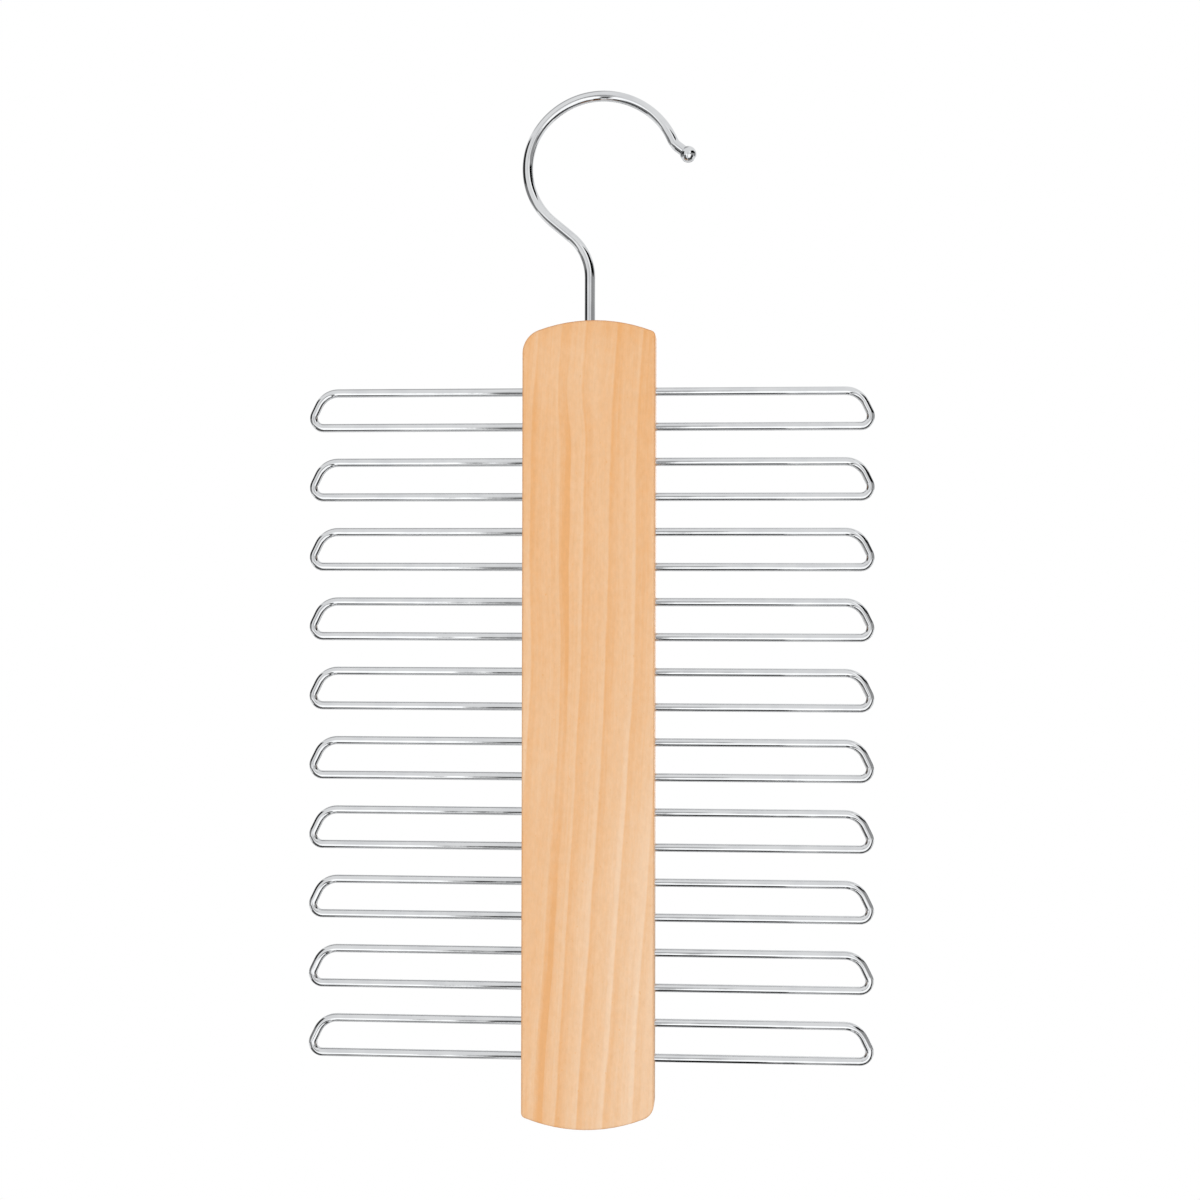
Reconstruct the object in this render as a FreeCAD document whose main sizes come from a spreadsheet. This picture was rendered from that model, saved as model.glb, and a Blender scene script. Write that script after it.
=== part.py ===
# Tie hanger: a flat wooden board with a column of bent wire loops along each edge, hung from a hook
# that swivels in the top of the board.
# Millimetres, +Z up, the front of the board faces -Y. The origin lies on the swivel axis, where the
# inside of the hook's crown rests on a clothes rail.
import FreeCAD, Part
import math
import os

import Sketcher

# Driving dimensions: alias, value, what it measures. Lengths in millimetres, angles in degrees.
SIZES = (
    ("board_width", 49.2, "board, side to side"),
    ("board_thickness", 12, "board, front to back"),
    ("end_radius", 60, "arc across each end of the board"),
    ("end_skew", 1.7, "crest of the arc off the middle, to the right at the top and to the left below"),
    ("end_margin", 26, "crest of each end to the nearest leg"),
    ("corner_top_left", 9, "corner radius, seen from the front"),
    ("corner_top_right", 2, "corner radius, seen from the front"),
    ("corner_bottom_left", 2, "corner radius, seen from the front"),
    ("corner_bottom_right", 6, "corner radius, seen from the front"),
    ("edge_round", 1, "rounding of the front and back edges"),
    ("loop_rows", 10, "loops along each side"),
    ("leg_pitch", 13, "from one leg to the next, within a loop and between loops"),
    ("loop_wire", 3.15, "diameter of the loop wire"),
    ("loop_reach", 80.7, "side of the board to the outside of a loop's tip"),
    ("lower_bend", 3.6, "centreline radius of the bend at the longer, lower leg"),
    ("upper_bend", 8, "centreline radius of the bend at the shorter, upper leg"),
    ("tip_slant", 26, "lean of a loop's end from upright"),
    ("leg_depth", 15, "length of a leg inside the board"),
    ("leg_chamfer", 0.4, "bevel on the buried end of a leg"),
    ("glue_gap", 0.05, "radial room for glue round the legs and the bush"),
    ("drill_margin", 0.5, "drilled depth beyond a leg's end"),
    ("hook_wire", 4, "diameter of the hook wire"),
    ("shank_rise", 16.6, "straight shank above the top of the board"),
    ("shank_bend", 19.4, "centreline radius of the bend above the shank"),
    ("shank_turn", 50.2, "angle of the bend above the shank"),
    ("neck_length", 9.2, "straight between that bend and the heel"),
    ("heel_radius", 25.7, "centreline radius of the heel, between the neck and the crown"),
    ("heel_end", 143.5, "direction from the crown's centre to where the heel meets the crown"),
    ("crown_radius", 28.5, "centreline radius of the hook's crown"),
    ("crown_end", 23.8, "direction from the crown's centre to where the tip bend starts"),
    ("tip_bend", 5.3, "centreline radius of the outward bend at the tip"),
    ("tip_fall", 36.9, "slope of the straight tip below level"),
    ("tip_length", 5, "straight tip, from the bend to the centre of the ball"),
    ("ball_diameter", 6.2, "ball on the hook's tip"),
    ("bush_length", 18, "swivel bush, top to bottom"),
    ("bush_wall", 1.7, "wall of the swivel bush"),
    ("bush_recess", 0.4, "top of the bush below the top of the board"),
    ("bush_chamfer", 0.5, "bevel at the mouth of the bush"),
    ("barb_count", 5, "barbs round the bush"),
    ("barb_pitch", 3, "from one barb to the next"),
    ("barb_rise", 2.2, "height of a barb's slope"),
    ("barb_depth", 0.35, "depth of the cut under a barb"),
    ("swivel_gap", 0.05, "radial clearance of the shank in the bush"),
    ("end_play", 0.15, "clearance between the bush and the shank's head"),
    ("head_overhang", 0.9, "shank's upset head beyond the wire, all round"),
    ("head_height", 1.4, "height of the upset head"),
    ("bore_margin", 1, "drilled depth below the upset head"),
)

# Sizes that follow from the driving dimensions, as expressions
BEND_TO_HEEL = "(Sizes.shank_bend + Sizes.heel_radius)"
HEEL_TO_CROWN = "(Sizes.heel_radius - Sizes.crown_radius)"
TURN = "Sizes.shank_turn * 1 deg"
HEEL_END = "Sizes.heel_end * 1 deg"
HEEL_ACROSS = f"{BEND_TO_HEEL} * cos({TURN}) - Sizes.neck_length * sin({TURN}) - Sizes.shank_bend"
HEEL_HEIGHT = f"{BEND_TO_HEEL} * sin({TURN}) + Sizes.neck_length * cos({TURN}) + Sizes.shank_rise"
CROWN_ACROSS = f"({HEEL_ACROSS} + {HEEL_TO_CROWN} * cos({HEEL_END}))"
CROWN_HEIGHT = f"({HEEL_HEIGHT} + {HEEL_TO_CROWN} * sin({HEEL_END}))"
CROWN_INSIDE = "(Sizes.crown_radius - Sizes.hook_wire / 2)"
SEAT_HEIGHT = f"({CROWN_HEIGHT} + sqrt({CROWN_INSIDE}^2 - {CROWN_ACROSS}^2))"
LEG_SPAN = "((2 * Sizes.loop_rows - 1) * Sizes.leg_pitch)"
BOARD_HEIGHT = f"(2 * Sizes.end_margin + {LEG_SPAN})"
LEG_RADIUS = "Sizes.loop_wire / 2"
LEG_HOLE_RADIUS = "Sizes.loop_wire / 2 + Sizes.glue_gap"
LEG_START = "Sizes.board_width / 2 - Sizes.leg_depth"
LOWEST_LEG = f"Sizes.end_margin + {LEG_SPAN}"
SHANK_RADIUS = "Sizes.hook_wire / 2"
BUSH_BORE = "Sizes.hook_wire / 2 + Sizes.swivel_gap"
BUSH_RADIUS = "(Sizes.hook_wire / 2 + Sizes.swivel_gap + Sizes.bush_wall)"
BUSH_BOTTOM = "(Sizes.bush_recess + Sizes.bush_length)"
HEAD_TOP = "(Sizes.bush_recess + Sizes.bush_length + Sizes.end_play)"

# Numbers by which a sketch knows the points of a line or an arc, and its own axes and origin
START, END, CENTRE = range(1, 4)
LEVEL_AXIS, UPRIGHT_AXIS = range(-1, -3, -1)
ORIGIN = (LEVEL_AXIS, START)
FLAT = 1e-6

doc = FreeCAD.newDocument("tie_hanger")
sheet = doc.addObject("Spreadsheet::Sheet", "Sizes")


def fill_sheet():
    """Write each driving dimension in a row of its own: name, value with its alias, meaning."""
    for row, (alias, value, meaning) in enumerate(SIZES, start=1):
        sheet.set(f"A{row}", alias)
        sheet.set(f"B{row}", str(value))
        sheet.setAlias(f"B{row}", alias)
        sheet.set(f"C{row}", meaning)
    doc.recompute()


def size(alias):
    """A driving dimension as a number, for the starting position of sketch geometry."""
    return float(sheet.get(alias))


def vector(across, up):
    return FreeCAD.Vector(across, up, 0)


def polar(centre, radius, angle):
    """The point at an angle, in radians, on a circle in a sketch."""
    return centre + vector(radius * math.cos(angle), radius * math.sin(angle))


def new_body(label):
    body = doc.addObject("PartDesign::Body", label)
    body.Label = label
    return body


def add_sketch(body, name, plane_role, offset=None):
    """A sketch on one of the body's own planes, moved along the plane's normal by an expression."""
    sketch = body.newObject("Sketcher::SketchObject", name)
    plane = next(item for item in body.Origin.OriginFeatures if item.Role == plane_role)
    sketch.AttachmentSupport = [(plane, "")]
    sketch.MapMode = "FlatFace"
    if offset:
        sketch.setExpression("AttachmentOffset.Base.z", offset)
    return sketch


def add_line(sketch, start, end):
    return sketch.addGeometry(Part.LineSegment(start, end))


def add_arc(sketch, centre, radius, first, last):
    """An arc, counterclockwise between two angles in radians."""
    circle = Part.Circle(centre, FreeCAD.Vector(0, 0, 1), radius)
    return sketch.addGeometry(Part.ArcOfCircle(circle, first, last))


def add_circle(sketch, centre, radius):
    return sketch.addGeometry(Part.Circle(centre, FreeCAD.Vector(0, 0, 1), radius))


def hold(sketch, kind, *items):
    sketch.addConstraint(Sketcher.Constraint(kind, *items))


def drive(sketch, expression, kind, *items):
    """A dimension of the sketch that follows an expression. The last item is its starting value."""
    index = sketch.addConstraint(Sketcher.Constraint(kind, *items))
    sketch.setExpression(f"Constraints[{index}]", expression)


def circle_sketch(body, name, plane_role, offset, radius):
    """A circle round the plane's origin."""
    sketch = add_sketch(body, name, plane_role, offset)
    circle = add_circle(sketch, vector(0, 0), 1)
    hold(sketch, "Coincident", circle, CENTRE, *ORIGIN)
    drive(sketch, radius, "Radius", circle, 1)
    return sketch


def sweep(body, name, profile, path):
    pipe = body.newObject("PartDesign::AdditivePipe", name)
    pipe.Profile = profile
    pipe.Spine = path
    return pipe


def repeat_upward(body, name, feature, sketch, spacing, count):
    """Copies of a feature along the sketch's upright axis."""
    pattern = body.newObject("PartDesign::LinearPattern", name)
    pattern.Originals = [feature]
    pattern.Direction = (sketch, ["V_Axis"])
    pattern.Mode = "Spacing"
    pattern.setExpression("Offset", spacing)
    pattern.setExpression("Occurrences", count)
    body.Tip = pattern


def edge_names(shape, wanted):
    return [f"Edge{number}" for number, edge in enumerate(shape.Edges, start=1) if wanted(edge)]


def outline_board(sketch):
    """Upright sides, an arc across each end and a corner arc of its own radius at each corner."""
    half = size("board_width") / 2
    height = 2 * size("end_margin") + (2 * size("loop_rows") - 1) * size("leg_pitch")
    end_radius = size("end_radius")
    skew = size("end_skew")
    end_centres = {"top": vector(skew, -end_radius), "bottom": vector(-skew, end_radius - height)}

    def corner(end, side):
        """Centre, radius and end-arc angle of a corner that touches the side and the end arc."""
        radius = size(f"corner_{end}_{side}")
        corner_x = half - radius if side == "right" else radius - half
        across = corner_x - end_centres[end].x
        rise = math.sqrt((end_radius - radius) ** 2 - across ** 2)
        to_centre = vector(across, rise if end == "top" else -rise)
        angle = math.atan2(to_centre.y, to_centre.x) % (2 * math.pi)
        return end_centres[end] + to_centre, radius, angle

    top_right, radius_top_right, angle_top_right = corner("top", "right")
    top_left, radius_top_left, angle_top_left = corner("top", "left")
    bottom_left, radius_bottom_left, angle_bottom_left = corner("bottom", "left")
    bottom_right, radius_bottom_right, angle_bottom_right = corner("bottom", "right")

    right = add_line(sketch, vector(half, bottom_right.y), vector(half, top_right.y))
    corner_top_right = add_arc(sketch, top_right, radius_top_right, 0, angle_top_right)
    top = add_arc(sketch, end_centres["top"], end_radius, angle_top_right, angle_top_left)
    corner_top_left = add_arc(sketch, top_left, radius_top_left, angle_top_left, math.pi)
    left = add_line(sketch, vector(-half, top_left.y), vector(-half, bottom_left.y))
    corner_bottom_left = add_arc(sketch, bottom_left, radius_bottom_left, math.pi, angle_bottom_left)
    bottom = add_arc(sketch, end_centres["bottom"], end_radius, angle_bottom_left, angle_bottom_right)
    corner_bottom_right = add_arc(
        sketch, bottom_right, radius_bottom_right, angle_bottom_right, 2 * math.pi
    )

    outline = (
        right, corner_top_right, top, corner_top_left, left, corner_bottom_left, bottom, corner_bottom_right
    )
    for piece, following in zip(outline, outline[1:] + outline[:1]):
        hold(sketch, "Tangent", piece, END, following, START)
    for side in (right, left):
        hold(sketch, "Vertical", side)
    for end in (top, bottom):
        drive(sketch, "Sizes.end_radius", "Radius", end, end_radius)
    drive(sketch, "Sizes.end_skew", "DistanceX", *ORIGIN, top, CENTRE, skew)
    drive(sketch, "Sizes.end_skew", "DistanceX", bottom, CENTRE, *ORIGIN, skew)
    drive(sketch, "Sizes.end_radius", "DistanceY", top, CENTRE, *ORIGIN, end_radius)
    drive(
        sketch, f"{BOARD_HEIGHT} - Sizes.end_radius",
        "DistanceY", bottom, CENTRE, *ORIGIN, height - end_radius,
    )
    drive(sketch, "Sizes.board_width / 2", "DistanceX", *ORIGIN, right, START, half)
    drive(sketch, "Sizes.board_width / 2", "DistanceX", left, START, *ORIGIN, half)
    drive(sketch, "Sizes.corner_top_right", "Radius", corner_top_right, radius_top_right)
    drive(sketch, "Sizes.corner_top_left", "Radius", corner_top_left, radius_top_left)
    drive(sketch, "Sizes.corner_bottom_left", "Radius", corner_bottom_left, radius_bottom_left)
    drive(sketch, "Sizes.corner_bottom_right", "Radius", corner_bottom_right, radius_bottom_right)


def drill_leg_holes(body, side, outward):
    """A column of blind holes in one side of the board, a hole for each leg of that side's loops."""
    sketch = add_sketch(body, f"leg_hole_{side}", "YZ_Plane", f"{outward} * Sizes.board_width / 2")
    below = size("end_margin") + (2 * size("loop_rows") - 1) * size("leg_pitch")
    hole = add_circle(sketch, vector(0, -below), size("loop_wire") / 2)
    hold(sketch, "PointOnObject", hole, CENTRE, UPRIGHT_AXIS)
    drive(sketch, LOWEST_LEG, "DistanceY", hole, CENTRE, *ORIGIN, below)
    drive(sketch, LEG_HOLE_RADIUS, "Radius", hole, size("loop_wire") / 2)
    pocket = body.newObject("PartDesign::Pocket", f"leg_drilling_{side}")
    pocket.Profile = sketch
    pocket.Reversed = outward < 0
    pocket.setExpression("Length", "Sizes.leg_depth + Sizes.drill_margin")
    repeat_upward(body, f"leg_holes_{side}", pocket, sketch, "Sizes.leg_pitch", "2 * Sizes.loop_rows")


def bore_for_bush(body):
    """The drilled bore in the top of the board that takes the swivel bush and the shank's head."""
    sketch = circle_sketch(body, "bush_bore", "XY_Plane", None, f"{BUSH_RADIUS} + Sizes.glue_gap")
    doc.recompute()
    bore = body.newObject("PartDesign::Hole", "bush_drilling")
    bore.Profile = sketch
    bore.DrillPoint = "Angled"
    bore.setExpression("Diameter", f"2 * ({BUSH_RADIUS} + Sizes.glue_gap)")
    bore.setExpression("Depth", f"{HEAD_TOP} + Sizes.head_height + Sizes.bore_margin")


def make_board():
    """The wooden board: its outline, rounded edges, the leg holes and the bore for the bush."""
    body = new_body("board")
    outline = add_sketch(body, "board_outline", "XZ_Plane")
    outline_board(outline)
    pad = body.newObject("PartDesign::Pad", "board_blank")
    pad.Profile = outline
    pad.SideType = "Symmetric"
    pad.setExpression("Length", "Sizes.board_thickness")
    doc.recompute()
    rounding = body.newObject("PartDesign::Fillet", "board_edges")
    rounding.Base = (pad, edge_names(pad.Shape, lambda edge: edge.BoundBox.YLength < FLAT))
    rounding.setExpression("Radius", "Sizes.edge_round")
    drill_leg_holes(body, "right", 1)
    drill_leg_holes(body, "left", -1)
    bore_for_bush(body)
    body.setExpression("Placement.Base.z", f"-{SEAT_HEIGHT}")
    return body


def loop_path(sketch):
    """Centreline of a loop: lower leg, tight bend, leaning end, wide bend, upper leg."""
    start = size("board_width") / 2 - size("leg_depth")
    tip = size("board_width") / 2 + size("loop_reach") - size("loop_wire") / 2
    pitch = size("leg_pitch")
    lower_radius = size("lower_bend")
    upper_radius = size("upper_bend")
    lean = math.radians(size("tip_slant"))

    lower_centre = vector(tip - lower_radius, lower_radius)
    lower_end = polar(lower_centre, lower_radius, lean)
    upper_rise = pitch - upper_radius + upper_radius * math.sin(lean)
    slant_run = (upper_rise - lower_end.y) * math.tan(lean)
    upper_start = vector(lower_end.x - slant_run, upper_rise)
    upper_centre = polar(upper_start, -upper_radius, lean)

    lower_leg = add_line(sketch, vector(start, 0), vector(lower_centre.x, 0))
    lower_arc = add_arc(sketch, lower_centre, lower_radius, -math.pi / 2, lean)
    slant = add_line(sketch, lower_end, upper_start)
    upper_arc = add_arc(sketch, upper_centre, upper_radius, lean, math.pi / 2)
    upper_leg = add_line(sketch, vector(upper_centre.x, pitch), vector(start, pitch))

    path = (lower_leg, lower_arc, slant, upper_arc, upper_leg)
    for piece, following in zip(path, path[1:]):
        hold(sketch, "Tangent", piece, END, following, START)
    hold(sketch, "Horizontal", lower_leg)
    hold(sketch, "Horizontal", upper_leg)
    hold(sketch, "Vertical", lower_leg, START, upper_leg, END)
    hold(sketch, "PointOnObject", lower_leg, START, LEVEL_AXIS)
    drive(sketch, LEG_START, "DistanceX", *ORIGIN, lower_leg, START, start)
    drive(sketch, "Sizes.leg_pitch", "DistanceY", lower_leg, START, upper_leg, END, pitch)
    drive(sketch, "Sizes.lower_bend", "Radius", lower_arc, lower_radius)
    drive(sketch, "Sizes.upper_bend", "Radius", upper_arc, upper_radius)
    drive(sketch, "90 + Sizes.tip_slant", "Angle", slant, math.pi / 2 + lean)
    drive(
        sketch,
        "Sizes.board_width / 2 + Sizes.loop_reach - Sizes.loop_wire / 2 - Sizes.lower_bend",
        "DistanceX", *ORIGIN, lower_arc, CENTRE, lower_centre.x,
    )


def make_loop(side, turn, row):
    """One wire loop. Rows count from the top, and the left-hand loops are turned half round."""
    body = new_body(f"loop_{side}_{row:02d}")
    path = add_sketch(body, "loop_path", "XZ_Plane")
    loop_path(path)
    section = circle_sketch(body, "loop_section", "YZ_Plane", LEG_START, LEG_RADIUS)
    wire = sweep(body, "loop_bar", section, path)
    doc.recompute()
    bevel = body.newObject("PartDesign::Chamfer", "leg_ends")
    bevel.Base = (wire, edge_names(wire.Shape, is_leg_end))
    bevel.setExpression("Size", "Sizes.leg_chamfer")
    body.Placement = FreeCAD.Placement(FreeCAD.Vector(), FreeCAD.Rotation(FreeCAD.Vector(0, 0, 1), turn))
    lower_leg = f"Sizes.end_margin + {2 * row - 1} * Sizes.leg_pitch"
    body.setExpression("Placement.Base.z", f"-{SEAT_HEIGHT} - ({lower_leg})")
    return body


def is_leg_end(edge):
    """Whether an edge is the rim of a leg's buried end."""
    start = size("board_width") / 2 - size("leg_depth")
    return edge.BoundBox.XLength < FLAT and abs(edge.BoundBox.Center.x - start) < FLAT


def hook_path(sketch):
    """Centreline of the hook: shank, bend, straight neck, heel, crown, outward bend, tip."""
    foot = size("bush_recess") + size("bush_length") + size("end_play")
    rise = size("shank_rise")
    bend_radius = size("shank_bend")
    turn = math.radians(size("shank_turn"))
    neck_length = size("neck_length")
    heel_radius = size("heel_radius")
    heel_end = math.radians(size("heel_end"))
    crown_radius = size("crown_radius")
    crown_end = math.radians(size("crown_end"))
    tip_radius = size("tip_bend")
    fall = math.radians(size("tip_fall"))

    # The neck runs square to the radius where the shank's bend ends, and the heel curls back over it
    bend_centre = vector(-bend_radius, rise)
    neck_start = polar(bend_centre, bend_radius, turn)
    neck_end = polar(neck_start, neck_length, turn + math.pi / 2)
    heel_centre = polar(neck_end, heel_radius, turn)

    # The crown goes on from the heel in a wider arc
    crown_start = polar(heel_centre, heel_radius, heel_end)
    crown_centre = polar(crown_start, -crown_radius, heel_end)

    # The tip bend touches the crown's outside and turns the wire away from it
    crown_tip = polar(crown_centre, crown_radius, crown_end)
    tip_centre = polar(crown_centre, crown_radius + tip_radius, crown_end)
    tip_bend_end = 3 * math.pi / 2 - fall
    tip_start = polar(tip_centre, tip_radius, tip_bend_end)

    shank = add_line(sketch, vector(0, -foot), vector(0, rise))
    bend = add_arc(sketch, bend_centre, bend_radius, 0, turn)
    neck = add_line(sketch, neck_start, neck_end)
    heel = add_arc(sketch, heel_centre, heel_radius, heel_end, turn + math.pi)
    crown = add_arc(sketch, crown_centre, crown_radius, crown_end, heel_end)
    tip_arc = add_arc(sketch, tip_centre, tip_radius, math.pi + crown_end, tip_bend_end)
    tip = add_line(sketch, tip_start, polar(tip_start, size("tip_length"), -fall))
    to_heel = add_line(sketch, crown_centre, crown_start)
    to_tip = add_line(sketch, crown_centre, crown_tip)
    for radial in (to_heel, to_tip):
        sketch.setConstruction(radial, True)
        hold(sketch, "Coincident", radial, START, crown, CENTRE)
    hold(sketch, "Coincident", to_heel, END, crown, END)
    hold(sketch, "Coincident", to_tip, END, crown, START)

    hold(sketch, "PointOnObject", shank, START, UPRIGHT_AXIS)
    hold(sketch, "Vertical", shank)
    hold(sketch, "Tangent", shank, END, bend, START)
    hold(sketch, "Tangent", bend, END, neck, START)
    hold(sketch, "Tangent", neck, END, heel, END)
    hold(sketch, "Tangent", heel, START, crown, END)
    hold(sketch, "Tangent", crown, START, tip_arc, START)
    hold(sketch, "Tangent", tip_arc, END, tip, START)
    drive(sketch, HEAD_TOP, "DistanceY", shank, START, *ORIGIN, foot)
    drive(sketch, "Sizes.shank_rise", "DistanceY", *ORIGIN, shank, END, rise)
    drive(sketch, "Sizes.shank_bend", "Radius", bend, bend_radius)
    drive(sketch, "90 + Sizes.shank_turn", "Angle", neck, turn + math.pi / 2)
    drive(sketch, "Sizes.neck_length", "Distance", neck, neck_length)
    drive(sketch, "Sizes.heel_radius", "Radius", heel, heel_radius)
    drive(sketch, "Sizes.heel_end", "Angle", to_heel, heel_end)
    drive(sketch, "Sizes.crown_radius", "Radius", crown, crown_radius)
    drive(sketch, "Sizes.crown_end", "Angle", to_tip, crown_end)
    drive(sketch, "Sizes.tip_bend", "Radius", tip_arc, tip_radius)
    drive(sketch, "-Sizes.tip_fall", "Angle", tip, -fall)
    drive(sketch, "Sizes.tip_length", "Distance", tip, size("tip_length"))


def make_hook():
    """The hook: one bent wire with a ball on its tip and an upset head under the bush."""
    body = new_body("hook")
    path = add_sketch(body, "hook_path", "XZ_Plane")
    hook_path(path)
    section = circle_sketch(body, "hook_section", "XY_Plane", f"-{HEAD_TOP}", SHANK_RADIUS)
    sweep(body, "hook_bar", section, path)
    doc.recompute()

    ball = body.newObject("PartDesign::AdditiveSphere", "tip_ball")
    ball.AttachmentSupport = [(path, f"Vertex{len(path.Shape.Vertexes)}")]
    ball.MapMode = "Translate"
    ball.setExpression("Radius", "Sizes.ball_diameter / 2")

    head = circle_sketch(
        body, "head_section", "XY_Plane", f"-{HEAD_TOP}", f"{SHANK_RADIUS} + Sizes.head_overhang"
    )
    upset = body.newObject("PartDesign::Pad", "shank_head")
    upset.Profile = head
    upset.Reversed = True
    upset.setExpression("Length", "Sizes.head_height")
    body.setExpression("Placement.Base.z", f"-{SEAT_HEIGHT}")
    return body


def make_bush():
    """The swivel bush: a sleeve in the top of the board, with barbs that slope towards its lower end."""
    body = new_body("hook_bush")
    ring = circle_sketch(body, "bush_ring", "XY_Plane", "-Sizes.bush_recess", BUSH_RADIUS)
    bore = add_circle(ring, vector(0, 0), 1)
    hold(ring, "Coincident", bore, CENTRE, *ORIGIN)
    drive(ring, BUSH_BORE, "Radius", bore, 1)
    sleeve = body.newObject("PartDesign::Pad", "bush_sleeve")
    sleeve.Profile = ring
    sleeve.Reversed = True
    sleeve.setExpression("Length", "Sizes.bush_length")
    doc.recompute()

    mouth = body.newObject("PartDesign::Chamfer", "bush_mouth")
    mouth.Base = (sleeve, edge_names(sleeve.Shape, is_bush_mouth))
    mouth.setExpression("Size", "Sizes.bush_chamfer")

    barb = add_sketch(body, "barb_cut", "XZ_Plane")
    barb_section(barb)
    cut = body.newObject("PartDesign::Groove", "barb")
    cut.Profile = barb
    cut.ReferenceAxis = (barb, ["V_Axis"])
    cut.Angle = 360
    repeat_upward(body, "barbs", cut, barb, "Sizes.barb_pitch", "Sizes.barb_count")
    body.setExpression("Placement.Base.z", f"-{SEAT_HEIGHT}")
    return body


def barb_section(sketch):
    """The three-sided cut under a barb: it passes the bush's surface at half its height and depth."""
    outer = size("hook_wire") / 2 + size("swivel_gap") + size("bush_wall")
    depth = size("barb_depth")
    rise = size("barb_rise")
    bottom = -size("bush_recess") - size("bush_length")
    inner_foot = vector(outer - depth, bottom)
    outer_foot = vector(outer + depth, bottom)
    crest = vector(outer + depth, bottom + 2 * rise)

    floor = add_line(sketch, inner_foot, outer_foot)
    wall = add_line(sketch, outer_foot, crest)
    slope = add_line(sketch, crest, inner_foot)
    for piece, following in ((floor, wall), (wall, slope), (slope, floor)):
        hold(sketch, "Coincident", piece, END, following, START)
    hold(sketch, "Horizontal", floor)
    hold(sketch, "Vertical", wall)
    drive(sketch, f"{BUSH_RADIUS} - Sizes.barb_depth", "DistanceX", *ORIGIN, floor, START, inner_foot.x)
    drive(sketch, BUSH_BOTTOM, "DistanceY", floor, START, *ORIGIN, -bottom)
    drive(sketch, "2 * Sizes.barb_depth", "DistanceX", floor, START, floor, END, 2 * depth)
    drive(sketch, "2 * Sizes.barb_rise", "DistanceY", wall, START, wall, END, 2 * rise)


def is_bush_mouth(edge):
    """Whether an edge is the upper rim of the bush's bore."""
    bore = size("hook_wire") / 2 + size("swivel_gap")
    is_bore = isinstance(edge.Curve, Part.Circle) and abs(edge.Curve.Radius - bore) < FLAT
    return is_bore and abs(edge.Curve.Center.z + size("bush_recess")) < FLAT


def make_parts():
    parts = [make_board(), make_hook(), make_bush()]
    for row in range(1, int(size("loop_rows")) + 1):
        parts.append(make_loop("left", 180, row))
        parts.append(make_loop("right", 0, row))
    return parts


def check(parts):
    """Stop if any object failed to compute or any sub-part is not one valid solid."""
    for item in doc.Objects:
        if "Invalid" in item.State or "Error" in item.State:
            raise RuntimeError(f"{item.Label} failed to compute: {item.State}")
    for part in parts:
        if part.Shape.isNull() or not part.Shape.isValid() or len(part.Shape.Solids) != 1:
            raise RuntimeError(f"{part.Label} is not one valid solid")


fill_sheet()
parts = make_parts()
doc.recompute()
check(parts)
os.makedirs("parts", exist_ok=True)
for part in parts:
    part.Shape.exportStep(f"parts/{part.Label}.step")
    print(f"{part.Label}: {part.Shape.Volume:.1f} mm3")
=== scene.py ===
import math

import bpy
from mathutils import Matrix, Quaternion, Vector

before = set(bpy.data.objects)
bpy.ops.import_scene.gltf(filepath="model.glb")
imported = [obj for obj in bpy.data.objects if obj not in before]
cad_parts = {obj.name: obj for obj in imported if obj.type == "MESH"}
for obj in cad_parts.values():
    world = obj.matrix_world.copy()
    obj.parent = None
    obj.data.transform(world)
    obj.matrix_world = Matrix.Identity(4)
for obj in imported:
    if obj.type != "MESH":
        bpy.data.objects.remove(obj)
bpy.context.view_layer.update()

MM = 0.001
WHITE = (1.0, 1.0, 1.0, 1.0)

# Shader nodes: the kind of thing that links join, and the sockets of a mix node for its factor and colours
SOCKET = bpy.types.NodeSocket
MIX_INPUTS = (0, 6, 7)
MIX_OUTPUT = 2

# Camera, as measured on the photograph: metres, degrees and pixels of the 1200 pixel frame
CAMERA_DISTANCE = 0.72
CAMERA_AZIMUTH = 4.0
CAMERA_ROLL = 0.116
AIM_RIGHT = 3.97 * MM
AIM_HEIGHT = -184.85 * MM
FOCAL_PIXELS = 1936.8
FRAME_PIXELS = 1200.0
# Blender's usual sensor in millimetres, and the nearest distance shown in metres
SENSOR_WIDTH = 36.0
CLIP_START = 0.01


def srgb(red, green, blue):
    """A colour given in 8-bit display values, as the linear values that shaders take."""
    def linear(value):
        value /= 255
        return value / 12.92 if value <= 0.04045 else ((value + 0.055) / 1.055) ** 2.4
    return (linear(red), linear(green), linear(blue), 1.0)


def grey(level):
    return (level, level, level, 1.0)


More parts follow.
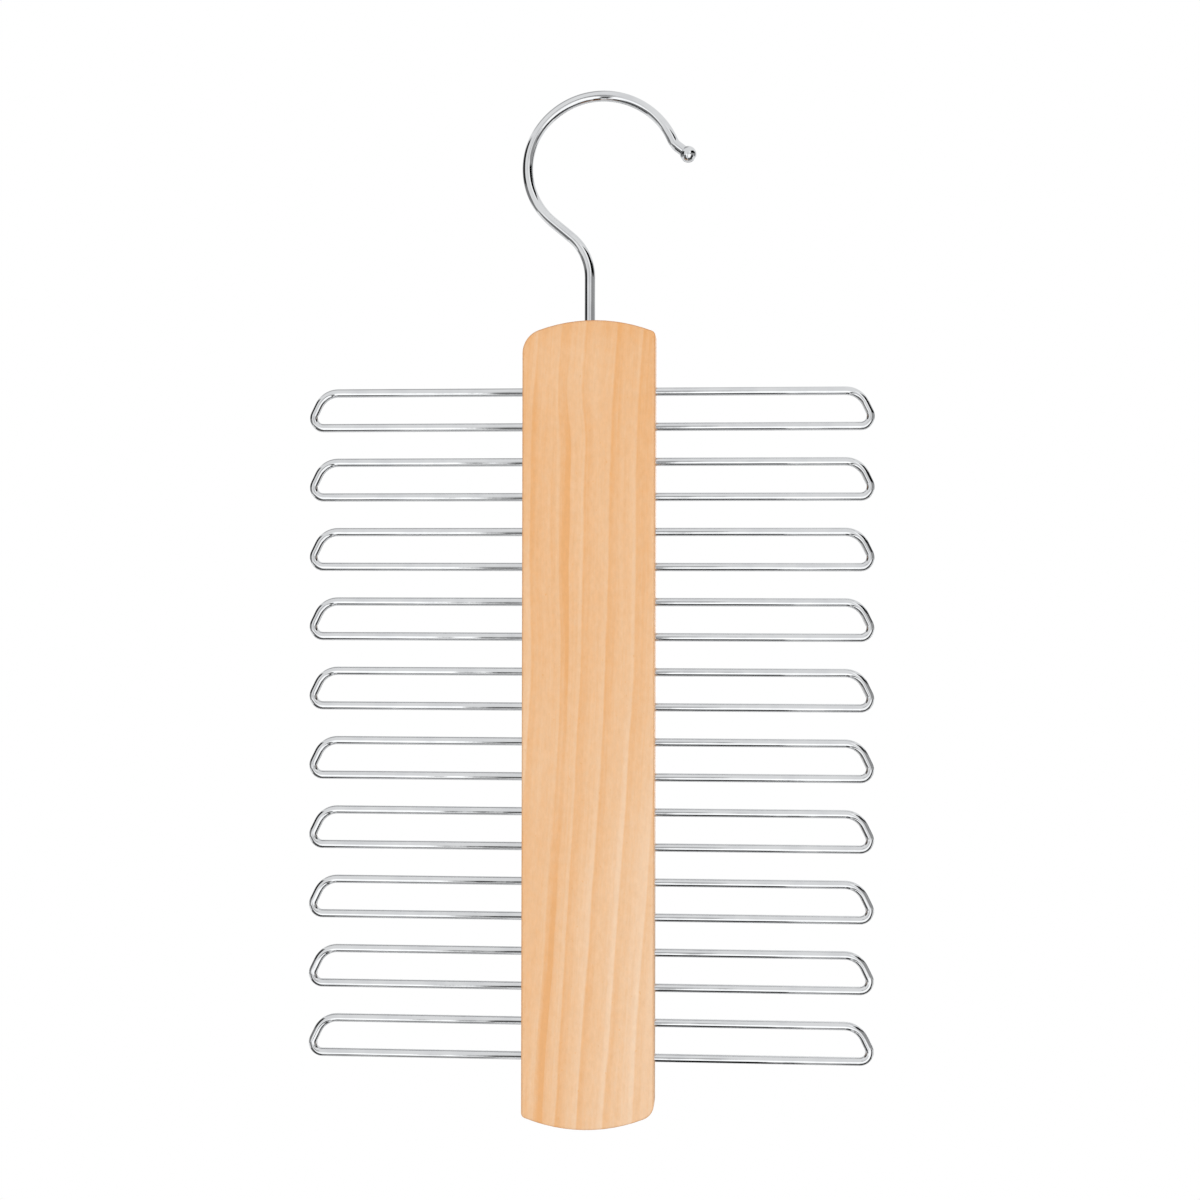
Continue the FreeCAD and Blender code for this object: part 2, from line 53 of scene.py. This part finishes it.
class Graph:
    """A node tree with short ways to add nodes. Inputs are numbers, colours or other nodes' sockets."""

    def __init__(self, tree):
        self.tree = tree
        self.tree.nodes.clear()

    def put(self, socket, value):
        """Link another node's socket to this one, or set a plain value."""
        if isinstance(value, SOCKET):
            self.tree.links.new(value, socket)
        else:
            socket.default_value = value

    def add(self, kind, inputs=None, **settings):
        node = self.tree.nodes.new("ShaderNode" + kind)
        for name, value in settings.items():
            setattr(node, name, value)
        for name, value in (inputs or {}).items():
            self.put(node.inputs[name], value)
        return node

    def math(self, operation, *values, clamp=False):
        node = self.add("Math", dict(enumerate(values)), operation=operation, use_clamp=clamp)
        return node.outputs[0]

    def scaled(self, vector, x, y, z):
        """A vector with each of its parts multiplied."""
        node = self.add("VectorMath", {0: vector, 1: (x, y, z)}, operation="MULTIPLY")
        return node.outputs[0]

    def millimetres(self):
        """The place on the piece, in millimetres."""
        metres = self.add("TexCoord").outputs["Object"]
        return self.scaled(metres, 1 / MM, 1 / MM, 1 / MM)

    def noise(self, vector, scale, detail, roughness=0.5):
        """Noise between about 0 and 1."""
        inputs = {"Vector": vector, "Scale": scale, "Detail": detail, "Roughness": roughness}
        return self.add("TexNoise", inputs).outputs["Fac"]

    def drawn(self, vector, cycles, detail, roughness=0.5):
        """Noise with its own number of cycles per unit along each axis."""
        return self.noise(self.scaled(vector, *cycles), 1.0, detail, roughness)

    def centred(self, value, amount):
        """Noise turned into a swing of plus or minus about half the amount."""
        return self.math("MULTIPLY_ADD", value, amount, -amount / 2)

    def between(self, value, low, high):
        """A smooth step from 0 at low to 1 at high."""
        inputs = {"Value": value, "From Min": low, "From Max": high}
        return self.add("MapRange", inputs, interpolation_type="SMOOTHSTEP").outputs["Result"]

    def ramp(self, value, stops, interpolation="LINEAR"):
        """A colour ramp from pairs of place and colour."""
        node = self.add("ValToRGB", {"Fac": value})
        node.color_ramp.interpolation = interpolation
        elements = node.color_ramp.elements
        while len(elements) < len(stops):
            elements.new(1.0)
        for element, (place, colour) in zip(elements, stops):
            element.position = place
            element.color = colour
        return node.outputs["Color"]

    def mix(self, factor, first, second, blend="MIX"):
        node = self.add("Mix", data_type="RGBA", blend_type=blend)
        for number, value in zip(MIX_INPUTS, (factor, first, second)):
            self.put(node.inputs[number], value)
        return node.outputs[MIX_OUTPUT]

    def surface(self, shader):
        self.add("OutputMaterial", {"Surface": shader.outputs[0]})


def new_material(name):
    material = bpy.data.materials.new(name)
    material.use_nodes = True
    return material, Graph(material.node_tree)


# Wood: growth rings about a pith behind the board's right side, cut open by the board.
# Places and lengths are in millimetres. A tone of 0 is the lightest wood and 1 the darkest.

PITH_ACROSS = 78.0
PITH_DEPTH = 52.0
# Inner radius of the first growth ring, then the outer radius of each ring and how strongly it is marked
INNERMOST = 46.0
RINGS = (
    (54.0, 0.9), (62.0, 1.1), (69.5, 0.9), (76.8, 1.15), (83.8, 1.2),
    (91.3, 1.1), (98.7, 0.85), (105.7, 0.6), (115.0, 1.3), (126.0, 1.0),
)
# Darkness through one ring: it starts with a pale line, darkens slowly and ends sharply against the next
RING_TONES = (
    (0.0, 0.5), (0.035, 0.0), (0.1, 0.08), (0.22, 0.34), (0.6, 0.5), (0.9, 0.8), (0.97, 0.9), (1.0, 0.5),
)
RING_MIDDLE = 0.5
# Contrast of the rings at the origin, its change for each millimetre of height, and what end grain adds
RING_CONTRAST = 0.33
CONTRAST_SLOPE = -0.00025
END_CONTRAST = 1.2
# Lean of the rings to the left, lower down, and to the right, near the top: slope, start and its ease
LEAN = 0.066
LEAN_START = -200.0
LEAN_EASE = 70.0
TOP_LEAN = 0.075
TOP_LEAN_START = -124.0
TOP_LEAN_EASE = 40.0
# Bends of the rings: name, across from and to, heights from and to, shift to the left.
# A bend grows from the first to the second of each pair and stays full beyond.
BENDS = (
    ("lower_left", (0.0, -14.0), (-160.0, -225.0), -1.7),
    ("top_middle", (-15.0, -10.0), (-130.0, -104.0), 2.2),
    ("top_right", (3.0, 10.0), (-130.0, -104.0), -2.2),
)
# Wandering of the rings: cycles along the three axes, detail, and the swing in millimetres
SLOW_WANDER = (0.03, 0.03, 0.009)
SLOW_DETAIL = 1.0
SLOW_SWING = 2.4
QUICK_WANDER = (0.12, 0.12, 0.03)
QUICK_DETAIL = 2.0
QUICK_SWING = 1.4

# A resinous streak along one ring: its radii, and where its inner border starts and is full
STREAK_INNER = 102.9
STREAK_OUTER = 105.9
STREAK_BORDER = (-0.4, 0.2)
# The streak comes and goes with height: where it is strongest, from there to the next time, mean and swing
STREAK_PEAK = -171.0
STREAK_LENGTH = 176.0
STREAK_MEAN = 0.58
STREAK_SWING = 0.42
STREAK_TONE = 0.6

# Noises of the grain: cycles along the three axes, detail, roughness and swing of the tone.
# Fibre and strand follow the rings, the others the board.
FIBRE = ((1.5, 0.2, 0.02), 4.0, 0.6)
FIBRE_SWING = 0.4
STRAND = ((0.42, 0.06, 0.0055), 2.0, 0.5)
STRAND_SWING = 0.34
FLECK = ((2.4, 2.4, 0.3), 3.0, 0.5)
FLECK_SWING = 0.2
MOTTLE = ((0.34, 0.34, 0.22), 4.0, 0.65)
MOTTLE_SWING = 0.42
CLOUD = ((0.05, 0.05, 0.016), 2.0, 0.5)
CLOUD_SWING = 0.24
# Pores, dark where their noise is high, and the open pores of the end grain
PORE = ((0.8, 0.8, 0.5), 1.0, 0.5)
PORE_RANGE = (0.73, 0.81)
PORE_TONE = 0.3
OPEN_PORE = ((2.2, 2.2, 0.3), 3.0, 0.7)
OPEN_PORE_SWING = 0.9
# Cells, which change the brightness and not the tone
CELL = ((0.9, 0.9, 0.45), 3.0, 0.6)
CELL_LOWEST = 0.925
CELL_SWING = 0.15

# The tone of the board, and the heights between which it turns paler downwards
BASE_TONE = 0.67
PALER = (-189.0, -319.0)
PALER_TONE = -0.17
# Patches of deeper or paler wood: name, across from and to, heights from and to, change of tone.
# A patch grows as a bend does.
PATCHES = (
    ("crest", (-40.0, -30.0), (-95.0, -83.0), 0.13),
    ("upper_left", (10.0, 0.0), (-120.0, -102.0), -0.09),
    ("upper_right", (-4.0, 10.0), (-165.0, -115.0), 0.09),
    ("upper_left_stripe", (-17.5, -20.5), (-190.0, -140.0), 0.25),
    ("lower_left", (5.0, -15.0), (-245.0, -285.0), 0.14),
    ("lower_right", (0.0, 18.0), (-245.0, -285.0), -0.14),
)
WOOD_COLOURS = (
    (0.0, srgb(244, 210, 176)),
    (0.5, srgb(238, 192, 146)),
    (1.0, srgb(233, 172, 110)),
)

# Painted shade on the rounded edges and, less, the flat sides, and the darker lacquer of the end grain, by
# how far the surface turns away.
# The ranges are of the normal's part along Y for edges and sides, and along Z for the ends.
EDGE_SHADE_RANGE = (0.98, 0.6)
EDGE_SHADE_TINT = srgb(218, 192, 156)
EDGE_SHADE_DEPTH = 0.5
SIDE_SHADE_RANGE = (0.55, 0.1)
SIDE_SHADE_RELIEF = 0.5
END_RANGE = (0.55, 0.95)
END_TINT = srgb(226, 186, 146)
END_DEPTH = 0.45
WOOD_SMOOTHEST = 0.36
WOOD_GLOSS_SWING = 0.14
WOOD_GLOSS_CYCLES = 0.5
WOOD_GLOSS_DETAIL = 3.0
FIBRE_RELIEF = 0.06 * MM


def grown_patch(graph, x, z, across, heights):
    """A part of the board that grows from the first to the second of each pair and stays full beyond."""
    return graph.math("MULTIPLY", graph.between(x, *across), graph.between(z, *heights))


def ring_place(graph, place):
    """The distance from the pith and the depth from it, with the rings' lean, bends and wandering."""
    x, y, z = graph.add("SeparateXYZ", {"Vector": place}).outputs
    below = graph.math("SUBTRACT", LEAN_START, z)
    lean = graph.math("MULTIPLY", graph.math("SMOOTH_MAX", below, 0.0, LEAN_EASE), LEAN)
    above = graph.math("SUBTRACT", z, TOP_LEAN_START)
    top_lean = graph.math("MULTIPLY", graph.math("SMOOTH_MAX", above, 0.0, TOP_LEAN_EASE), TOP_LEAN)
    lean = graph.math("SUBTRACT", lean, top_lean)
    for _, across_bend, height_bend, shift in BENDS:
        bend = grown_patch(graph, x, z, across_bend, height_bend)
        lean = graph.math("MULTIPLY_ADD", bend, shift, lean)
    slow = graph.centred(graph.drawn(place, SLOW_WANDER, SLOW_DETAIL), SLOW_SWING)
    quick = graph.centred(graph.drawn(place, QUICK_WANDER, QUICK_DETAIL), QUICK_SWING)
    wander = graph.math("ADD", slow, quick)
    across = graph.math("ADD", graph.math("ADD", x, lean), wander)
    across = graph.math("SUBTRACT", across, PITH_ACROSS)
    depth = graph.math("SUBTRACT", y, PITH_DEPTH)
    squares = graph.math("ADD", graph.math("POWER", across, 2.0), graph.math("POWER", depth, 2.0))
    return graph.math("SQRT", squares), depth


def ring_tone(graph, radius, z, end_grain):
    """The change of tone that the growth rings make."""
    rings = 0.0
    inner = INNERMOST
    for outer, _ in RINGS:
        limits = {"Value": radius, "From Min": inner, "From Max": outer}
        passed = graph.add("MapRange", limits).outputs["Result"]
        rings = graph.math("ADD", rings, passed)
        inner = outer
    ring = graph.math("DIVIDE", graph.math("FLOOR", rings), float(len(RINGS)))
    age = graph.math("FRACT", rings)
    late = graph.ramp(age, [(part, grey(dark)) for part, dark in RING_TONES])
    marks = [(number / len(RINGS), grey(marked)) for number, (_, marked) in enumerate(RINGS)]
    strength = graph.ramp(ring, marks, "CONSTANT")
    contrast = graph.math("MULTIPLY_ADD", z, CONTRAST_SLOPE, RING_CONTRAST)
    contrast = graph.math("MULTIPLY", contrast, graph.math("MULTIPLY_ADD", end_grain, END_CONTRAST, 1.0))
    banded = graph.math("MULTIPLY", graph.math("SUBTRACT", late, RING_MIDDLE), strength)
    return graph.math("MULTIPLY", banded, contrast)


def streak_strength(graph, radius, z):
    """How strong the resinous streak is at a place."""
    starts, full = STREAK_BORDER
    inside = graph.between(radius, STREAK_INNER + starts, STREAK_INNER + full)
    streak = graph.math("MULTIPLY", inside, graph.between(radius, STREAK_OUTER, STREAK_INNER))
    pace = math.tau / STREAK_LENGTH
    turn = graph.math("MULTIPLY_ADD", z, pace, -pace * STREAK_PEAK)
    comes = graph.math("MULTIPLY_ADD", graph.math("COSINE", turn), STREAK_SWING, STREAK_MEAN)
    return graph.math("MULTIPLY", streak, comes)


def make_wood():
    material, graph = new_material("lacquered_wood")
    place = graph.millimetres()
    x, _, z = graph.add("SeparateXYZ", {"Vector": place}).outputs
    normal = graph.add("SeparateXYZ", {"Vector": graph.add("TexCoord").outputs["Normal"]})
    facing = graph.math("ABSOLUTE", normal.outputs["Y"])
    end_grain = graph.between(graph.math("ABSOLUTE", normal.outputs["Z"]), *END_RANGE)
    radius, depth = ring_place(graph, place)

    # Fibres, fine and coarse, short flecks, mottling and broad clouds, all drawn out along the grain
    grown = graph.add("CombineXYZ", {"X": radius, "Y": depth, "Z": z}).outputs[0]
    fibre = graph.drawn(grown, *FIBRE)
    grain = graph.centred(fibre, FIBRE_SWING)
    for vector, kind, swing in (
        (grown, STRAND, STRAND_SWING),
        (place, FLECK, FLECK_SWING),
        (place, MOTTLE, MOTTLE_SWING),
        (place, CLOUD, CLOUD_SWING),
    ):
        grain = graph.math("ADD", grain, graph.centred(graph.drawn(vector, *kind), swing))
    pore = graph.between(graph.drawn(place, *PORE), *PORE_RANGE)
    grain = graph.math("MULTIPLY_ADD", pore, PORE_TONE, grain)
    open_pores = graph.centred(graph.drawn(place, *OPEN_PORE), OPEN_PORE_SWING)
    grain = graph.math("MULTIPLY_ADD", end_grain, open_pores, grain)

    # The tone, from the rings, the grain, the streak and the patches
    tone = graph.math("ADD", ring_tone(graph, radius, z, end_grain), grain)
    tone = graph.math("MULTIPLY_ADD", streak_strength(graph, radius, z), STREAK_TONE, tone)
    for _, across_patch, height_patch, change in PATCHES:
        patch = grown_patch(graph, x, z, across_patch, height_patch)
        tone = graph.math("MULTIPLY_ADD", patch, change, tone)
    tone = graph.math("MULTIPLY_ADD", graph.between(z, *PALER), PALER_TONE, tone)
    tone = graph.math("ADD", tone, BASE_TONE, clamp=True)
    colour = graph.ramp(tone, WOOD_COLOURS)
    shade = graph.math("MULTIPLY_ADD", graph.drawn(place, *CELL), CELL_SWING, CELL_LOWEST)
    colour = graph.mix(1.0, colour, shade, "MULTIPLY")

    # Painted shade darkens the rounded edges, and less the flat sides; the end grain takes the lacquer
    # darker, the end grain most
    flat_side_shade = graph.math("MULTIPLY_ADD", graph.between(facing, *SIDE_SHADE_RANGE), -SIDE_SHADE_RELIEF, 1.0)
    painted_edge_shade = graph.math("MULTIPLY", graph.between(facing, *EDGE_SHADE_RANGE), flat_side_shade)
    colour = graph.mix(graph.math("MULTIPLY", painted_edge_shade, EDGE_SHADE_DEPTH), colour, EDGE_SHADE_TINT, "MULTIPLY")
    colour = graph.mix(graph.math("MULTIPLY", end_grain, END_DEPTH), colour, END_TINT, "MULTIPLY")

    uneven = graph.noise(place, WOOD_GLOSS_CYCLES, WOOD_GLOSS_DETAIL)
    gloss = graph.math("MULTIPLY_ADD", uneven, WOOD_GLOSS_SWING, WOOD_SMOOTHEST)
    relief = graph.add("Bump", {"Strength": 0.25, "Distance": FIBRE_RELIEF, "Height": fibre})
    shader = graph.add("BsdfPrincipled", {
        "Base Color": colour, "Roughness": gloss, "Normal": relief.outputs["Normal"],
        "Coat Weight": 0.25, "Coat Roughness": 0.22, "Specular IOR Level": 0.35,
    })
    graph.surface(shader)
    return material


# Chrome: bright plating over drawn wire, with a faint waviness, a thin haze and specks

CHROME = (0.68, 0.69, 0.7, 1.0)
CHROME_HAZE = (0.62, 0.63, 0.645, 1.0)
# Noises of the chrome: cycles for each millimetre, detail, roughness
WAVE = (0.045, 1.0, 0.5)
RIPPLE = (0.28, 2.0, 0.5)
HAZE = (0.11, 4.0, 0.6)
SPECK = (3.2, 3.0, 0.7)
# Height of a ripple for a wave of 1, and the height of a wave
RIPPLE_SHARE = 0.03
WAVE_HEIGHT = 0.35 * MM
# Where the haze and the specks start and are full, and what they do to the gloss
HAZE_RANGE = (0.35, 0.75)
SPECK_RANGE = (0.62, 0.8)
CHROME_SMOOTHEST = 0.03
HAZE_GLOSS = 0.05
SPECK_GLOSS = 0.08


def make_chrome():
    material, graph = new_material("bright_chrome")
    place = graph.millimetres()
    haze = graph.noise(place, *HAZE)
    speck = graph.between(graph.noise(place, *SPECK), *SPECK_RANGE)
    colour = graph.mix(graph.between(haze, *HAZE_RANGE), CHROME, CHROME_HAZE)
    gloss = graph.math("MULTIPLY_ADD", haze, HAZE_GLOSS, CHROME_SMOOTHEST)
    gloss = graph.math("MULTIPLY_ADD", speck, SPECK_GLOSS, gloss)
    wave = graph.noise(place, *WAVE)
    height = graph.math("MULTIPLY_ADD", graph.noise(place, *RIPPLE), RIPPLE_SHARE, wave)
    relief = graph.add("Bump", {"Strength": 1.0, "Distance": WAVE_HEIGHT, "Height": height})
    shader = graph.add("BsdfPrincipled", {
        "Base Color": colour, "Metallic": 1.0, "Roughness": gloss, "Normal": relief.outputs["Normal"],
    })
    graph.surface(shader)
    return material


# Natural nylon for the bush inside the board

NYLON_COLOURS = (
    (0.3, srgb(222, 216, 200)),
    (0.7, srgb(238, 233, 220)),
)
# Noises of the nylon: cycles for each millimetre, detail
NYLON_MOTTLE = (0.8, 3.0)
NYLON_PITS = (6.0, 2.0)
NYLON_SMOOTHEST = 0.42
NYLON_GLOSS_SWING = 0.15
PIT_DEPTH = 0.05 * MM


def make_nylon():
    material, graph = new_material("natural_nylon")
    place = graph.millimetres()
    mottle = graph.noise(place, *NYLON_MOTTLE)
    pits = graph.noise(place, *NYLON_PITS)
    colour = graph.ramp(mottle, NYLON_COLOURS)
    gloss = graph.math("MULTIPLY_ADD", mottle, NYLON_GLOSS_SWING, NYLON_SMOOTHEST)
    relief = graph.add("Bump", {"Strength": 0.3, "Distance": PIT_DEPTH, "Height": pits})
    shader = graph.add("BsdfPrincipled", {
        "Base Color": colour, "Roughness": gloss, "Normal": relief.outputs["Normal"],
        "Subsurface Weight": 0.1, "Subsurface Scale": 1.0 * MM,
    })
    graph.surface(shader)
    return material


def dress():
    """Give every node of the model its material."""
    chrome = make_chrome()
    looks = {"board": make_wood(), "hook_bush": make_nylon()}
    for name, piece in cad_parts.items():
        piece.material_slots[0].material = looks.get(name, chrome)


# Studio: white world, pale floor, soft lamps and cards that only the metal sees.
# Places and lengths are in metres.

AMBIENT = 0.73
FLOOR_HEIGHT = -1.0
FLOOR_RADIUS = 6.0
# Distances from the middle between which the floor melts into the white, and the floor's tones
FLOOR_FADE = (0.6, 1.5)
FLOOR_MOTTLE = (3.0, 3.0)
FLOOR_TONES = ((0.3, grey(0.93)), (0.7, grey(0.96)))


def make_world():
    world = bpy.data.worlds.new("studio")
    bpy.context.scene.world = world
    world.use_nodes = True
    graph = Graph(world.node_tree)
    path = graph.add("LightPath").outputs
    seen = graph.math("MAXIMUM", path["Is Camera Ray"], path["Is Glossy Ray"])
    seen = graph.math("MAXIMUM", seen, path["Is Transmission Ray"])
    light = graph.add("Background", {"Color": WHITE, "Strength": AMBIENT})
    backdrop = graph.add("Background", {"Color": WHITE, "Strength": 1.0})
    mixed = graph.add("MixShader", {0: seen, 1: light.outputs[0], 2: backdrop.outputs[0]})
    graph.add("OutputWorld", {"Surface": mixed.outputs[0]})


def stage_piece(name, places, faces, material):
    """A piece of the stage made from points and faces."""
    mesh = bpy.data.meshes.new(name)
    mesh.from_pydata(places, [], faces)
    mesh.materials.append(material)
    piece = bpy.data.objects.new(name, mesh)
    bpy.context.scene.collection.objects.link(piece)
    return piece


def make_floor():
    """A pale floor that melts into the white of the world with distance and shows nothing from below."""
    material, graph = new_material("pale_floor")
    coordinates = graph.add("TexCoord").outputs["Object"]
    distance = graph.add("VectorMath", {0: coordinates}, operation="LENGTH").outputs["Value"]
    fade = graph.between(distance, *FLOOR_FADE)
    mottle = graph.noise(coordinates, *FLOOR_MOTTLE)
    matt = graph.add("BsdfDiffuse", {"Color": graph.ramp(mottle, FLOOR_TONES)})
    white = graph.add("Emission", {"Color": WHITE, "Strength": 1.0})
    melted = graph.add("MixShader", {0: fade, 1: matt.outputs[0], 2: white.outputs[0]})
    below = graph.add("NewGeometry").outputs["Backfacing"]
    clear = graph.add("BsdfTransparent")
    graph.surface(graph.add("MixShader", {0: below, 1: melted.outputs[0], 2: clear.outputs[0]}))
    corners = [(-FLOOR_RADIUS, -FLOOR_RADIUS, 0), (FLOOR_RADIUS, -FLOOR_RADIUS, 0),
               (FLOOR_RADIUS, FLOOR_RADIUS, 0), (-FLOOR_RADIUS, FLOOR_RADIUS, 0)]
    floor = stage_piece("floor", corners, [(0, 1, 2, 3)], material)
    floor.location.z = FLOOR_HEIGHT


def make_card(name, corners, level, soft):
    """A glowing or dark card with soft borders, seen only in reflections.

    The corners go round from the lower left, and the borders take the share soft of each side.
    """
    lower_left, lower_right, upper_right, upper_left = [Vector(corner) for corner in corners]
    steps = (0.0, soft, 1.0 - soft, 1.0)
    places = []
    covers = []
    for v in steps:
        left = lower_left.lerp(upper_left, v)
        right = lower_right.lerp(upper_right, v)
        for u in steps:
            places.append(left.lerp(right, u))
            covers.append(float(0 < u < 1 and 0 < v < 1))
    count = len(steps)
    faces = []
    for row in range(count - 1):
        for column in range(count - 1):
            first = count * row + column
            faces.append((first, first + 1, first + count + 1, first + count))

    material, graph = new_material(name)
    cover = graph.add("Attribute", attribute_name="cover").outputs["Fac"]
    glow = graph.add("Emission", {"Color": WHITE, "Strength": level})
    clear = graph.add("BsdfTransparent")
    graph.surface(graph.add("MixShader", {0: cover, 1: clear.outputs[0], 2: glow.outputs[0]}))
    piece = stage_piece(name, places, faces, material)
    piece.data.attributes.new("cover", "FLOAT", "POINT").data.foreach_set("value", covers)
    piece.visible_camera = False
    piece.visible_diffuse = False
    piece.visible_transmission = False
    piece.visible_shadow = False


def towards(direction, distance, height):
    """A point at a distance and height, in a direction given in degrees from the front towards +X."""
    angle = math.radians(direction)
    return (distance * math.sin(angle), -distance * math.cos(angle), height)


# Upright cards: name, directions from and to, distance, lowest, highest, level, softness
UPRIGHT_CARDS = (
    ("flag_left", -112, -53, 2.0, -0.5, 1.2, 0.02, 0.1),
    ("flag_left_low", -112, -57, 1.9, -0.8, 0.05, 0.26, 0.12),
    ("grey_right", 24, 92, 2.0, -0.4, 1.0, 0.38, 0.12),
    ("grey_right_low", 44, 88, 2.0, -1.0, -0.3, 0.15, 0.12),
    ("black_right", 37, 98, 1.0, 0.1, 0.68, 0.0, 0.08),
    ("white_right", 20, 39, 0.9, 0.06, 0.5, 1.4, 0.15),
    ("flag_right_rear", 92, 122, 2.0, -0.5, 1.0, 0.16, 0.12),
    ("flag_left_rear", -134, -108, 2.0, -0.5, 1.0, 0.3, 0.12),
    ("stand", -9.8, 1.1, 2.6, -1.0, 0.0, 0.35, 0.3),
    ("apparatus", -5.7, 1.9, 2.0, -0.1, 0.5, 0.25, 0.3),
    ("white_rear", 145, 215, 2.2, -0.5, 0.1, 1.45, 0.1),
    ("dark_rear", 145, 215, 2.1, -1.0, -0.5, 0.08, 0.15),
)
# Cards on the floor in front, each a step above the last: name, directions from and to, nearest, farthest,
# level, softness
FRONT_CARDS = (
    ("white_front", -28, 15, 0.4, 4.6, 1.54, 0.06),
    ("white_front_far", -32, -12, 4.2, 9.0, 1.5, 0.1),
    ("white_front_right", 14, 41, 0.5, 9.0, 1.45, 0.06),
    ("grey_front_left", -76, -27, 0.7, 3.6, 0.22, 0.1),
    ("dark_front_right", 42, 88, 0.5, 3.4, 0.04, 0.1),
)
CARD_STEP = 0.01
# Other cards that lie level: name, height, corners from the front left, level, softness
LEVEL_CARDS = (
    ("stand_foot", -0.96, ((-0.46, -2.6), (-0.03, -2.6), (0.01, -0.25), (-0.137, -0.25)), 0.03, 0.25),
    ("dark_left_near", -0.95, ((-0.2, -0.5), (-0.1, -0.5), (-0.1, 0.2), (-0.2, 0.2)), 0.32, 0.2),
    ("dark_left_far", -0.94, ((-1.1, -0.54), (-0.17, -0.55), (-0.17, 0.2), (-1.1, 0.2)), 0.04, 0.08),
    ("dark_right_near", -0.93, ((-0.035, -0.66), (0.105, -0.64), (0.105, 0.3), (-0.035, 0.3)), 0.0, 0.15),
    ("dark_right_far", -0.92, ((0.07, -0.46), (1.0, -0.44), (1.0, 0.2), (0.07, 0.2)), 0.06, 0.08),
    ("grey_rear", -0.91, ((-1.0, 0.24), (1.0, 0.24), (1.0, 0.6), (-1.0, 0.6)), 0.55, 0.1),
    ("overhead", 1.8, ((-2.4, -0.2), (0.25, -0.2), (0.25, 1.8), (-2.4, 1.8)), 0.5, 0.2),
)


def make_cards():
    for name, start, end, distance, low, high, level, soft in UPRIGHT_CARDS:
        corners = (towards(start, distance, low), towards(end, distance, low),
                   towards(end, distance, high), towards(start, distance, high))
        make_card(name, corners, level, soft)
    height = FLOOR_HEIGHT
    for name, start, end, near, far, level, soft in FRONT_CARDS:
        height += CARD_STEP
        corners = (towards(start, far, height), towards(end, far, height),
                   towards(end, near, height), towards(start, near, height))
        make_card(name, corners, level, soft)
    for name, height, corners, level, soft in LEVEL_CARDS:
        make_card(name, [(x, y, height) for x, y in corners], level, soft)


# Soft square lamps, aimed at the middle of the object: name, place, width, watts
LAMPS = (
    ("key", (1.4, -1.8, 1.0), 1.4, 12.0),
    ("fill", (-1.2, -1.9, 0.4), 1.4, 4.0),
    ("back", (0.6, 2.2, 0.8), 1.6, 8.0),
    ("side_left", (-2.2, 0.9, 0.2), 1.2, 7.0),
    ("side_right", (2.2, 0.9, 0.2), 1.2, 7.0),
)


def make_lamps():
    """Light the object with lamps that don't show in the metal."""
    aim = Vector((0, 0, AIM_HEIGHT))
    for name, place, width, watts in LAMPS:
        light = bpy.data.lights.new(name, "AREA")
        light.size = width
        light.energy = watts
        lamp = bpy.data.objects.new(name, light)
        lamp.location = place
        lamp.rotation_euler = (aim - Vector(place)).to_track_quat("-Z", "Y").to_euler()
        lamp.visible_camera = False
        lamp.visible_glossy = False
        bpy.context.scene.collection.objects.link(lamp)


def make_camera():
    azimuth = math.radians(CAMERA_AZIMUTH)
    back = Vector((math.sin(azimuth), -math.cos(azimuth), 0))
    right = Vector((math.cos(azimuth), math.sin(azimuth), 0))
    data = bpy.data.cameras.new("camera")
    data.sensor_width = SENSOR_WIDTH
    data.lens = FOCAL_PIXELS / FRAME_PIXELS * SENSOR_WIDTH
    data.clip_start = CLIP_START
    camera = bpy.data.objects.new("camera", data)
    camera.location = right * AIM_RIGHT + Vector((0, 0, AIM_HEIGHT)) + back * CAMERA_DISTANCE
    roll = Quaternion((0, 0, 1), math.radians(CAMERA_ROLL))
    camera.rotation_euler = ((-back).to_track_quat("-Z", "Y") @ roll).to_euler()
    bpy.context.scene.collection.objects.link(camera)
    bpy.context.scene.camera = camera


dress()
make_world()
make_floor()
make_cards()
make_lamps()
make_camera()
bpy.context.scene.view_settings.view_transform = "Standard"
